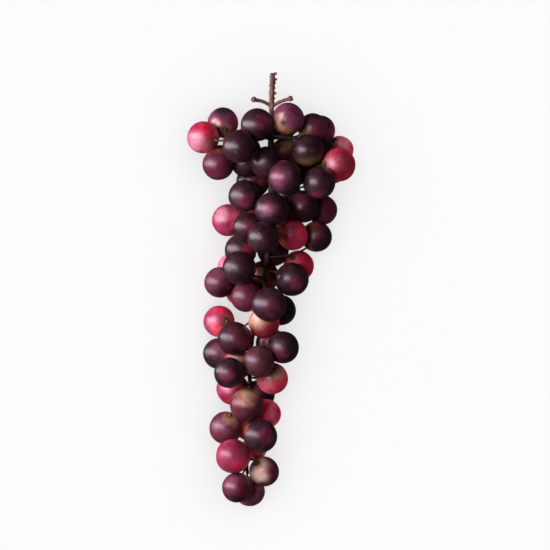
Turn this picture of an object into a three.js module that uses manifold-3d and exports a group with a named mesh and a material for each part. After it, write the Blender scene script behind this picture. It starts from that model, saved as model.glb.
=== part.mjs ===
// A bunch of round table grapes, cut from the vine and laid down on a flat surface.
//
// One woody stem carries every berry: a stout stalk with a cut end and two bare side twigs, the
// main axis that runs down inside the bunch, a branch to each shoulder, and thin stalks that grow
// through the gaps to each berry, flared where they meet its skin. The berries press into each
// other all through the bunch and so hold together as one body, round the stem and clear of it.
//
// Millimetres, +Z up. The bunch lies along Y, with the cut end of the stem towards +Y and the
// tip towards -Y. The origin is on the surface, under the middle of the bunch.
import * as THREE from "three";
import { mergeVertices } from "three/addons/utils/BufferGeometryUtils.js";
import Module from "manifold-3d";

const wasm = await Module();
wasm.setup();

// Places on the bunch are given across it, to the right of the cut end of the stem, and along
// it, down from that cut end.
const MIDDLE_ACROSS = 0.8; // of the whole bunch, which is where the origin lies
const MIDDLE_ALONG = 144.6;
const FIRST_BERRY_ALONG = 22;
const LAST_BERRY_ALONG = 290;
const BARE_STEM = 40; // down to where the stem is in full view
const BUNCH_HALF_WIDTH = 58;

const PRESS = 1; // how far two berries press into each other
const PRESS_ROUNDS = 40; // in which berries that nearly touch are drawn together
const PRESS_NEAR = 2; // the gap that counts as nearly touching
const PRESS_PULL = 0.06; // share of such a gap that closes in a round
const PRESS_DRIFT = 1.2; // the most that a berry moves sideways for it
const FLAT_DEPTH = 0.4; // how much a berry that lies on the surface is pressed flat
const BERRY_DETAIL = 1; // subdivisions of a berry's faceted ball
const FACET_SWELL = 1.045; // brings the faceted ball to the volume of the round one

const STEM_GAP = 0.35; // between the stem and the skins around it
const STALK_SINK = 1.1; // how far the flared end of a stalk stands in its berry
const STALK_FLARE = 1.7; // radius of that end
const FLARE_LENGTH = 2.4;
const STALK_RADIUS = 0.8;
const STALK_SIDES = 3;
const STALK_STEP = 7; // between the sections that it is made of
const STALK_THICKENING = 0.13; // of its radius, for each further berry that it carries
const BRANCH_RADIUS = 1.4; // the most that a stalk thickens to
const TWIG_RADIUS = 1.1;
const TWIG_KNOB = 2.1;
const CUT_SLANT = 0.45; // of the cut end of the stem, in radians
const CUT_BOX = 20; // side of the block that cuts it
const FRAME_STEPS = 200; // at which a limb's curve knows its sideways directions
const LOOSE_SCRAP = 5; // cubic millimetres that a cut may leave loose, and that are dropped

// The visible berries, from the deepest to the nearest: across, along, diameter and, where the
// end of its stalk shows, how far to the right of its middle and above it that is.
const BERRIES = [
  [10, 53.5, 20],
  [-13, 235, 18],
  [-12, 72, 20.5],
  [-2.5, 137, 19.5],
  [7.5, 82.5, 20],
  [-6.5, 214.5, 19.5],
  [2.5, 118, 20.5],
  [-10.5, 250.5, 17],
  [46.5, 51.5, 18.5, -3.8, 6.4],
  [35, 91.5, 19.5],
  [-2.5, 227.5, 19.5],
  [-13.5, 279.5, 20],
  [-22, 276.5, 20],
  [-8.5, 35.5, 22],
  [-34.5, 187.5, 20.5],
  [-26, 211.5, 20],
  [-34, 166, 21, 5.2, 1],
  [-25.5, 130, 19.5],
  [-33.5, 58.5, 20.5],
  [-29.5, 237, 22, 2.6, 8.6],
  [-24.5, 255.5, 23],
  [-19.5, 118.5, 21.5],
  [-16, 60.5, 19.5],
  [-2, 60.5, 21.5],
  [31, 109.5, 20.5],
  [-6.5, 242, 22.5],
  [10, 70.5, 22.5],
  [22, 89.5, 20.5],
  [15, 108.5, 20.5],
  [-20, 145.5, 20],
  [-33.5, 140, 20.5],
  [33.5, 38.5, 20],
  [34.5, 54, 20],
  [45.5, 62, 22.5, -9.6, 0],
  [32.5, 74, 21.5],
  [28.5, 37.5, 20],
  [25, 52.5, 21.5],
  [-15.5, 221.5, 22.5],
  [1.5, 204, 21],
  [-31.5, 33.5, 20.5, 1.6, -4.6],
  [-34.5, 61.5, 21],
  [-20.5, 50, 22],
  [0.5, 180.5, 20],
  [8.5, 183.2, 21.5],
  [-16, 149.5, 20.5],
  [-20.5, 130.5, 22.5],
  [-44.5, 43.5, 21.5],
  [-21.5, 194.5, 20],
  [-7.5, 192.5, 21],
  [-27, 200, 20.5],
  [-23.5, 177.5, 22.5],
  [-4, 266, 20, -4.6, 6],
  [7, 158.5, 20.5],
  [-4, 167, 20.5],
  [-0.5, 154.5, 23],
  [-28, 98.5, 21.5],
  [-15, 103, 19.5],
  [-17, 82.5, 21.5],
  [1, 91.5, 22.5],
  [-4.5, 110.5, 21.5],
  [19, 129, 20.5, -4, 5.4],
  [14.5, 138, 22.5],
  [12, 31.5, 21.5],
];
const UNDER_AXIS = 8; // so many of them lie under the main axis

// Berries that only the underside shows fill what room is left, the large ones first: the least
// height of their centres and their mean diameter, in the order in which they are tried.
const FILLERS = [
  [0, 19.5],
  [24, 19.5],
  [36, 19.5],
  [0, 16],
  [20, 16],
  [32, 16],
];
const FILLER_SPREAD = 2; // between the largest and the smallest of one kind
const FILL_STEP = 2; // between the places that are tried
const FILL_REACH = 6; // how far a berry may move up to its neighbour
const FILL_OVERLAP = 0.3; // how much more than the others it may press into those around it
const FILL_SEED = 4711;
const STEM_VIEW = 5; // how far to the side of the stem they may show in a gap

// The main axis, from the cut end to the tip: across, along, height of its middle, radius.
const AXIS = [
  [1.7, 0, 20, 1.7],
  [0.8, 28, 20, 1.6],
  [0.6, 45, 20, 2.1],
  [0.2, 70, 20, 1.9],
  [0, 82, 21, 1.9],
  [0, 95, 22, 1.8],
  [-1.5, 119, 23, 1.7],
  [-4.5, 137, 22.5, 1.6],
  [-7, 150, 19, 1.5],
  [-10.5, 165, 15.5, 1.5],
  [-12.5, 180, 14.5, 1.4],
  [-14, 194, 13.5, 1.4],
  [-13.8, 205, 16, 1.3],
  [-13.8, 214, 18.5, 1.3],
  [-14.5, 235, 20, 1.2],
  [-15.3, 250, 23.3, 1.1],
  [-15.5, 262, 20, 1],
  [-15, 267, 18, 1],
];

// The branches to the shoulders, and the two bare twigs, in the same terms.
const LEFT_BRANCH = [
  [0.6, 43, 20, 1.6],
  [-4, 42.5, 25, 1.5],
  [-10, 43, 31, 1.4],
  [-20, 45, 36, 1.3],
  [-31, 45.5, 33, 1.3],
];
const RIGHT_BRANCH = [
  [0.6, 43, 20, 1.6],
  [9, 43.3, 24, 1.5],
  [18, 43.8, 25, 1.4],
];
const LEFT_TWIG = [
  [0.8, 22.7, 20, TWIG_RADIUS],
  [-5, 19.5, 21.5, TWIG_RADIUS],
  [-9.2, 18.7, 22.5, TWIG_RADIUS],
  [-10.7, 18.3, 22.8, TWIG_KNOB],
  [-12.3, 17.8, 23, TWIG_KNOB * 0.6],
];
const RIGHT_TWIG = [
  [0.8, 23.3, 20, TWIG_RADIUS],
  [6.5, 19.8, 21, TWIG_RADIUS],
  [11.8, 18.1, 21.4, TWIG_RADIUS],
  [13.3, 17.7, 21.5, TWIG_KNOB],
  [14.9, 17.2, 21.6, TWIG_KNOB * 0.6],
];

// Stalks find their way through the gaps on a grid of places.
const GRID = 2;
const NARROWEST = 0.5; // the least room around a stalk's middle
const ROOM_WISH = 1.3; // the room that it is bent to keep
const STRAIGHT_END = 2.6; // how far above the skin it turns straight in
const GROWN_COST = 0.35; // of a way along the stem, against one through a gap
const HANG_MATCH = 0.85; // cosine of how far a way may end beside a stalk's end that shows

// A point of the bunch, from its place across, along and above the surface.
function place(across, along, height) {
  return new THREE.Vector3(across - MIDDLE_ACROSS, MIDDLE_ALONG - along, height);
}

// The way from a ball's middle to the point of its upper side that is so far right and up of it.
function towardView(radius, right, up) {
  return new THREE.Vector3(right, up, Math.sqrt(radius ** 2 - right ** 2 - up ** 2)).normalize();
}

// Seeded numbers from 0 to 1, the same ones each time.
function seeded(seed) {
  let state = seed;
  return () => {
    state = (state * 16807) % 2147483647;
    return state / 2147483647;
  };
}

// A limb of the stem through hand-placed points, with its thickness at each of them.
function limbThrough(rows, sides) {
  const curve = new THREE.CatmullRomCurve3(rows.map(([x, a, z]) => place(x, a, z)));
  const radii = rows.map((row) => row[3]);
  const radiusAt = (share) => {
    const at = curve.getUtoTmapping(share) * (radii.length - 1);
    const k = Math.min(Math.floor(at), radii.length - 2);
    return THREE.MathUtils.lerp(radii[k], radii[k + 1], at - k);
  };
  const steps = Math.max(rows.length * 2, Math.round(curve.getLength() / 7));
  return { curve, radiusAt, sides, steps, fromAxis: 0 };
}

// Balls along a limb, one for each two millimetres, that berries keep clear of.
function ballsAlong({ curve, radiusAt }) {
  const count = Math.ceil(curve.getLength() / 2);
  return Array.from({ length: count + 1 }, (_, k) => ({
    at: curve.getPointAt(k / count),
    radius: radiusAt(k / count),
  }));
}

// Lets each berry down until it lies on the surface, on a limb or on a berry let down before it.
function settle(rows, balls) {
  const settled = [];
  for (const [across, along, diameter, ...stalkEnd] of rows) {
    const radius = diameter / 2;
    const at = place(across, along, radius - FLAT_DEPTH);
    const hang = stalkEnd.length ? towardView(radius, ...stalkEnd) : undefined;
    const letDownOn = (under, reach) => {
      const flat = Math.hypot(under.at.x - at.x, under.at.y - at.y);
      if (flat < reach) at.z = Math.max(at.z, under.at.z + Math.sqrt(reach ** 2 - flat ** 2));
    };
    if (settled.length >= UNDER_AXIS) {
      for (const ball of balls) letDownOn(ball, ball.radius + STEM_GAP + radius);
    }
    for (const berry of settled) letDownOn(berry, berry.radius - PRESS + radius);
    settled.push({ at, radius, hang });
  }
  return settled;
}

// Draws together the berries that nearly touch, and eases those that press too far.
function pressTogether(berries, balls) {
  const start = berries.map((berry) => berry.at.clone());
  const lies = berries.map((berry) => berry.at.z < berry.radius);
  for (let round = 0; round < PRESS_ROUNDS; round += 1) {
    for (const [i, a] of berries.entries()) {
      for (const b of berries.slice(i + 1)) {
        const away = b.at.clone().sub(a.at);
        const gap = away.length() - a.radius - b.radius + PRESS;
        if (gap > PRESS_NEAR) continue;
        away.setLength(gap * (gap > 0 ? PRESS_PULL : 0.5));
        a.at.add(away);
        b.at.sub(away);
      }
    }
    for (const [i, berry] of berries.entries()) {
      for (const ball of balls) {
        const out = berry.at.clone().sub(ball.at);
        const missing = ball.radius + STEM_GAP + berry.radius - out.length();
        if (missing > 0) berry.at.addScaledVector(out.normalize(), missing);
      }
      const lowest = berry.radius - FLAT_DEPTH;
      const height = lies[i] ? lowest : Math.max(berry.at.z, lowest);
      const drift = berry.at.clone().sub(start[i]).setZ(0).clampLength(0, PRESS_DRIFT);
      berry.at.copy(start[i]).add(drift).setZ(height);
    }
  }
  return berries;
}

// Whether a berry is hidden from above by others, but for the gaps along the stem.
function isCovered(berry, others, balls) {
  const rim = Array.from({ length: 8 }, (_, k) => (k * Math.PI) / 4).map((turn) => [
    berry.at.x + Math.cos(turn) * berry.radius * 0.9,
    berry.at.y + Math.sin(turn) * berry.radius * 0.9,
  ]);
  const bareEnd = place(0, BARE_STEM, 0).y;
  return rim.every(([x, y]) => {
    const isOver = (b, reach) => b.at.z > berry.at.z && Math.hypot(b.at.x - x, b.at.y - y) < reach;
    const inGap = balls.some((ball) => ball.at.y < bareEnd && isOver(ball, STEM_VIEW));
    return inGap || others.some((other) => isOver(other, other.radius));
  });
}

// Puts further berries into what room is left, each pressed against one that is there already.
function fill(visible, balls) {
  const berries = [...visible];
  const random = seeded(FILL_SEED);
  const tryAt = (across, along, least, diameter) => {
    const radius = (diameter + FILLER_SPREAD * (random() - 0.5)) / 2;
    const at = place(across, along, Math.max(least, radius - FLAT_DEPTH));
    const gapTo = (b) => b.at.distanceTo(at) - b.radius - radius;
    const mate = berries.reduce((best, b) => (gapTo(b) < gapTo(best) ? b : best));
    if (Math.abs(gapTo(mate)) > FILL_REACH) return;
    const reach = mate.radius + radius - PRESS;
    const away = at.clone().sub(mate.at);
    const rise = least === 0 ? away.z : 0;
    if (least === 0) away.z = 0;
    at.sub(away).add(away.setLength(Math.sqrt(Math.max(0, reach ** 2 - rise ** 2))));
    const clear =
      at.z >= radius - FLAT_DEPTH &&
      berries.every((b) => gapTo(b) > -PRESS - FILL_OVERLAP) &&
      balls.every((b) => gapTo(b) > STEM_GAP);
    if (clear && isCovered({ at, radius }, visible, balls)) berries.push({ at, radius });
  };
  for (const [least, diameter] of FILLERS) {
    for (let along = FIRST_BERRY_ALONG; along < LAST_BERRY_ALONG; along += FILL_STEP) {
      for (let across = -BUNCH_HALF_WIDTH; across < BUNCH_HALF_WIDTH; across += FILL_STEP) {
        tryAt(across, along, least, diameter);
      }
    }
  }
  return berries;
}

// The steps from a place of the grid to its neighbours.
const STEPS = Array.from({ length: 27 }, (_, k) => {
  const [x, y, z] = [k % 3, Math.floor(k / 3) % 3, Math.floor(k / 9)].map((v) => v - 1);
  return { x, y, z, length: GRID * Math.hypot(x, y, z) };
}).filter((step) => step.length > 0);

// The place of the grid that is nearest to a point, with a number of its own.
function gridPlace(x, y, z) {
  return { x, y, z, number: (x * 512 + y) * 64 + z };
}

function nearestPlace(point) {
  const [x, y, z] = point.toArray().map((v) => Math.round(v / GRID));
  return gridPlace(x, y, z);
}

function pointOf({ x, y, z }) {
  return new THREE.Vector3(x, y, z).multiplyScalar(GRID);
}

// How much room there is between a place and the nearest skin, worked out once for each place.
function roomFinder(berries) {
  const rooms = new Map();
  return (place) => {
    if (place.z < 1) return 0;
    if (!rooms.has(place.number)) {
      const point = pointOf(place);
      rooms.set(place.number, Math.min(...berries.map((b) => b.at.distanceTo(point) - b.radius)));
    }
    return rooms.get(place.number);
  };
}

// The shortest way through the gaps from the stem to just above a berry's skin.
function wayTo(berry, starts, room) {
  const costs = new Map();
  const levels = [];
  const offer = (place, cost, before) => {
    if (cost >= (costs.get(place.number) ?? Infinity)) return;
    costs.set(place.number, cost);
    (levels[Math.floor(cost)] ??= []).push({ place, cost, before });
  };
  for (const start of starts) offer(nearestPlace(start.at), start.cost, { start });
  for (let level = 0; level < levels.length; level += 1) {
    for (const reached of levels[level] ?? []) {
      const { place, cost } = reached;
      if (cost > costs.get(place.number)) continue;
      const out = pointOf(place).sub(berry.at);
      const isAbove = Math.abs(out.length() - berry.radius - STRAIGHT_END) < GRID * 0.6;
      if (isAbove && (!berry.hang || out.normalize().dot(berry.hang) > HANG_MATCH)) {
        const way = [];
        let back = reached;
        for (; back.place; back = back.before) way.unshift(pointOf(back.place));
        return { way, start: back.start };
      }
      for (const step of STEPS) {
        const next = gridPlace(place.x + step.x, place.y + step.y, place.z + step.z);
        const clear = room(next);
        if (clear >= NARROWEST) offer(next, cost + step.length * (1 + 2 / (clear + 0.5)), reached);
      }
    }
  }
  throw new Error("no way to the berry at " + berry.at.toArray().join(" "));
}

// Smooths a way and bends it clear of the berries, with both its ends kept.
function bendClear(points, berries) {
  for (let round = 0; round < 16; round += 1) {
    for (let k = 1; k < points.length - 2; k += 1) {
      const point = points[k];
      point.multiplyScalar(2).add(points[k - 1]).add(points[k + 1]).divideScalar(4);
      for (const berry of berries) {
        const out = point.clone().sub(berry.at);
        const missing = berry.radius + ROOM_WISH - out.length();
        if (missing > 0) point.addScaledVector(out.normalize(), missing * 0.6);
      }
      point.z = Math.max(point.z, BRANCH_RADIUS);
    }
  }
}

// Grows a stalk to each berry, the farthest ones first, from the stem as it has grown so far.
function growStalks(berries, limbs) {
  const room = roomFinder(berries);
  const starts = [];
  const addStarts = (limb) => {
    const count = Math.ceil(limb.curve.getLength() / GRID);
    for (let k = 0; k < count; k += 1) {
      const fromAxis = limb.fromAxis + (k / count) * limb.curve.getLength();
      const cost = limb.from ? fromAxis * GROWN_COST : 0;
      starts.push({ at: limb.curve.getPointAt(k / count), limb, cost, fromAxis });
    }
  };
  limbs.forEach(addStarts);
  const first = [...starts];
  const farness = (berry) => Math.min(...first.map((s) => s.at.distanceTo(berry.at)));
  const stalks = [];
  for (const berry of [...berries].sort((a, b) => farness(b) - farness(a))) {
    const { way, start } = wayTo(berry, starts, room);
    const end = way.pop().sub(berry.at).normalize();
    const out = berry.hang ?? end;
    const above = berry.at.clone().addScaledVector(out, berry.radius + STRAIGHT_END);
    const inside = berry.at.clone().addScaledVector(out, berry.radius - STALK_SINK);
    const points = [start.at, ...way.slice(1), above, inside];
    bendClear(points, berries);
    const curve = new THREE.CatmullRomCurve3(points);
    const stalk = { curve, sides: STALK_SIDES, carried: 0, from: start.limb, fromAxis: start.fromAxis };
    for (let limb = stalk.from; limb.from; limb = limb.from) limb.carried += 1;
    stalks.push(stalk);
    addStarts(stalk);
  }
  for (const stalk of stalks) {
    const base = Math.min(BRANCH_RADIUS, STALK_RADIUS * (1 + STALK_THICKENING * stalk.carried));
    const plain = (share) => THREE.MathUtils.lerp(base, STALK_RADIUS, share);
    stalk.radiusAt = (share) => (share === 1 ? STALK_FLARE : plain(share));
    stalk.flared = true;
    stalk.steps = Math.max(3, Math.round(stalk.curve.getLength() / STALK_STEP) + 1);
  }
  return stalks;
}

// A closed mesh as a solid that can be joined and cut.
function solidOf(geometry) {
  const bare = geometry.clone().deleteAttribute("normal").deleteAttribute("uv");
  const merged = mergeVertices(bare, 1e-4);
  return new wasm.Manifold(
    new wasm.Mesh({
      numProp: 3,
      vertProperties: merged.getAttribute("position").array,
      triVerts: new Uint32Array(merged.index.array),
    }),
  );
}

// A limb as a solid: a cylinder bent along its curve, swollen by a gap where it is a cutter.
function limbSolid({ curve, radiusAt, sides, steps, flared }, gap = 0) {
  const geometry = new THREE.CylinderGeometry(1, 1, 1, sides, steps);
  const length = curve.getLength();
  const shares = Array.from({ length: steps + 1 }, (_, k) => k / steps);
  if (flared) {
    for (let k = 0; k < steps; k += 1) shares[k] = (k / (steps - 1)) * (1 - FLARE_LENGTH / length);
  }
  const frames = curve.computeFrenetFrames(FRAME_STEPS, false);
  const position = geometry.getAttribute("position");
  for (let i = 0; i < position.count; i += 1) {
    const k = Math.round((position.getY(i) + 0.5) * steps);
    const share = shares[k];
    const frame = Math.round(share * FRAME_STEPS);
    const radius = radiusAt(share) + gap;
    const end = k === steps ? gap : 0;
    const point = curve
      .getPointAt(share)
      .addScaledVector(frames.normals[frame], position.getX(i) * radius)
      .addScaledVector(frames.binormals[frame], -position.getZ(i) * radius)
      .addScaledVector(frames.tangents[frame], end);
    position.setXYZ(i, point.x, point.y, point.z);
  }
  return solidOf(geometry);
}

// A berry as a faceted ball with one corner straight down, turned about that corner.
function berrySolid({ at, radius }, turn) {
  const geometry = new THREE.IcosahedronGeometry(radius * FACET_SWELL, BERRY_DETAIL);
  const corner = new THREE.Vector3().fromBufferAttribute(geometry.getAttribute("position"), 0).normalize();
  const down = new THREE.Vector3(0, 0, -1);
  geometry.applyQuaternion(new THREE.Quaternion().setFromUnitVectors(corner, down));
  geometry.rotateZ(turn);
  geometry.translate(at.x, at.y, at.z);
  return solidOf(geometry);
}

function boxSolid(size, at, turn = 0) {
  const geometry = new THREE.BoxGeometry(...size);
  geometry.rotateZ(turn);
  geometry.translate(at.x, at.y, at.z);
  return solidOf(geometry);
}

function joined(solids) {
  return solids.reduce((whole, solid) => whole.add(solid));
}

// The one body that a node is, without the scraps that a cut leaves.
function wholeBody(solid, name) {
  const bodies = solid.decompose().sort((a, b) => b.volume() - a.volume());
  const lost = bodies.slice(1).reduce((sum, body) => sum + body.volume(), 0);
  if (lost > LOOSE_SCRAP) throw new Error(name + " falls apart into " + bodies.length + " bodies");
  return bodies[0];
}

function meshOf(solid, name, material) {
  const { vertProperties, triVerts } = solid.getMesh();
  const geometry = new THREE.BufferGeometry();
  geometry.setAttribute("position", new THREE.BufferAttribute(vertProperties, 3));
  geometry.setIndex(new THREE.BufferAttribute(triVerts, 1));
  geometry.computeVertexNormals();
  const mesh = new THREE.Mesh(geometry, material);
  mesh.name = name;
  return mesh;
}

const limbs = [
  limbThrough(AXIS, 6),
  limbThrough(LEFT_BRANCH, 6),
  limbThrough(RIGHT_BRANCH, 6),
  limbThrough(LEFT_TWIG, 6),
  limbThrough(RIGHT_TWIG, 6),
];
const balls = limbs.flatMap(ballsAlong);
const berries = pressTogether(fill(settle(BERRIES, balls), balls), balls);
const stalks = growStalks(berries, limbs.slice(0, 3));

const parts = [...limbs, ...stalks];
const cutEnd = place(AXIS[0][0], -CUT_BOX / 2, AXIS[0][2]);
const beyondCut = boxSolid([CUT_BOX, CUT_BOX, CUT_BOX], cutEnd, CUT_SLANT);
const stem = joined(parts.map((limb) => limbSolid(limb))).subtract(beyondCut);
const aroundStem = joined(parts.map((limb) => limbSolid(limb, STEM_GAP)));

const turn = seeded(FILL_SEED);
const balled = joined(berries.map((berry) => berrySolid(berry, turn() * Math.PI * 2)));
const aboveSurface = boxSolid([400, 400, 200], new THREE.Vector3(0, 0, 100));
const skins = balled.intersect(aboveSurface).subtract(aroundStem);

const WOOD = new THREE.MeshStandardMaterial({ color: 0x4a2c22, roughness: 0.8 });
const SKIN = new THREE.MeshStandardMaterial({ color: 0x6a2340, roughness: 0.45 });
const group = new THREE.Group();
group.add(meshOf(wholeBody(stem, "stem"), "stem", WOOD));
group.add(meshOf(wholeBody(skins, "berries"), "berries", SKIN));
export default group;
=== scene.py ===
"""Looks of a bunch of round table grapes, laid down on a pale floor and seen from straight above.

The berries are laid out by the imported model's own rules. Those that show from above are then
drawn at the places of the table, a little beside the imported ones, and the ends of the packed
stem's stalks go with them. Places and sizes are in millimetres until a mesh is made, in metres.
"""
import math

import bmesh
import bpy
import numpy as np
from mathutils import Matrix, Vector, noise


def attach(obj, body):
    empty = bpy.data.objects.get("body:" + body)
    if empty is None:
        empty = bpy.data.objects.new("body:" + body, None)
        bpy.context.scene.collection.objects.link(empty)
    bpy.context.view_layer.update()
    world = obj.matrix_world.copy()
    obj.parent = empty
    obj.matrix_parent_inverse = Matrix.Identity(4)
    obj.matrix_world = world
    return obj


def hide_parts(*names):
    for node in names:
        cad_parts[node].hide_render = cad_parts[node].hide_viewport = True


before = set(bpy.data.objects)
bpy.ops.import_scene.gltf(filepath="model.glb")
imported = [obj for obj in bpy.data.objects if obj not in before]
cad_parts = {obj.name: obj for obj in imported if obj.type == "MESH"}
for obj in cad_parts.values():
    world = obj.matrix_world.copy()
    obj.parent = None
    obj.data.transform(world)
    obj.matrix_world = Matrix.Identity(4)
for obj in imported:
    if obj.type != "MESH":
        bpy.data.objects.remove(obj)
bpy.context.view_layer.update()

MM = 0.001

# Places on the bunch: across it, to the right of the cut end of the stem, and along it, down
# from that cut end.
MIDDLE_ACROSS = 0.8
MIDDLE_ALONG = 144.6
FIRST_BERRY_ALONG = 22
LAST_BERRY_ALONG = 290
BUNCH_HALF_WIDTH = 58

# How deep berries press into each other, in how many rounds they are drawn together, from how
# near, how strongly, and how far one may drift across by that.
PRESS = 1.0
PRESS_ROUNDS = 40
PRESS_NEAR = 2.0
PRESS_PULL = 0.06
PRESS_DRIFT = 1.2

# How flat the lowest berries lie, and the room that berries leave around the stem.
FLAT_DEPTH = 0.4
STEM_GAP = 0.35
STEM_NEAR = 3

# How deep a stalk's end sits in its berry, how far along a stalk gives way when its berry moves,
# and the height of the stem that a berry without a stalk would turn to.
STALK_DEPTH = 0.44
STALK_GIVE = 5
STEM_HEIGHT = 20

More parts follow.
